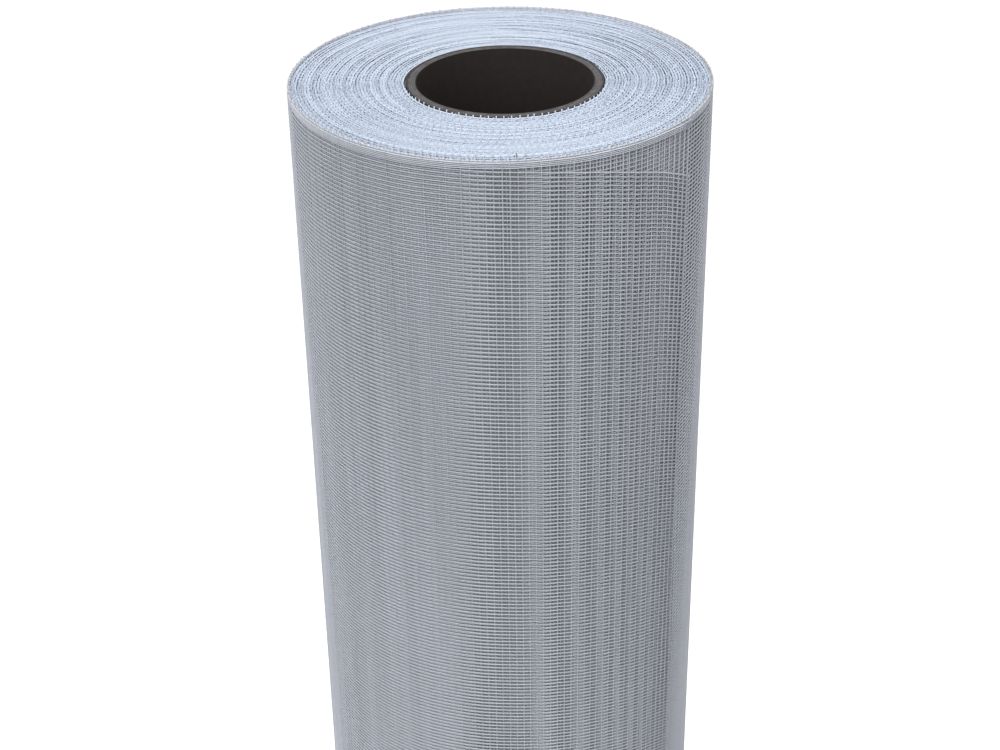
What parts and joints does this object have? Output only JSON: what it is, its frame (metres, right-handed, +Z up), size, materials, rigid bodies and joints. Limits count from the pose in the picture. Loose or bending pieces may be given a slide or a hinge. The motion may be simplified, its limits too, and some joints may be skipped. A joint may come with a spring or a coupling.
{
  "type": "fiberglass insect screen roll",
  "caption": "Roll of woven fiberglass insect screen wound on a cardboard core tube, standing on its end.",
  "frame": {"origin": "centre of the roll's foot, on its axis and in the plane of its lower end", "axes": "+Z up along the roll's axis, from the lower end to the upper end; +Y points away from the viewer"},
  "size_m": [0.091, 0.091, 0.61],
  "materials": {
    "core_board": "matte grey-brown spirally wound board with a fibrous cut rim",
    "screen_mesh": "light grey vinyl-coated fiberglass yarn in an open plain weave, satin"
  },
  "bodies": {
    "root": {"cardboard_core": "core_board", "screen_roll": "screen_mesh"}
  },
  "joints": []
}
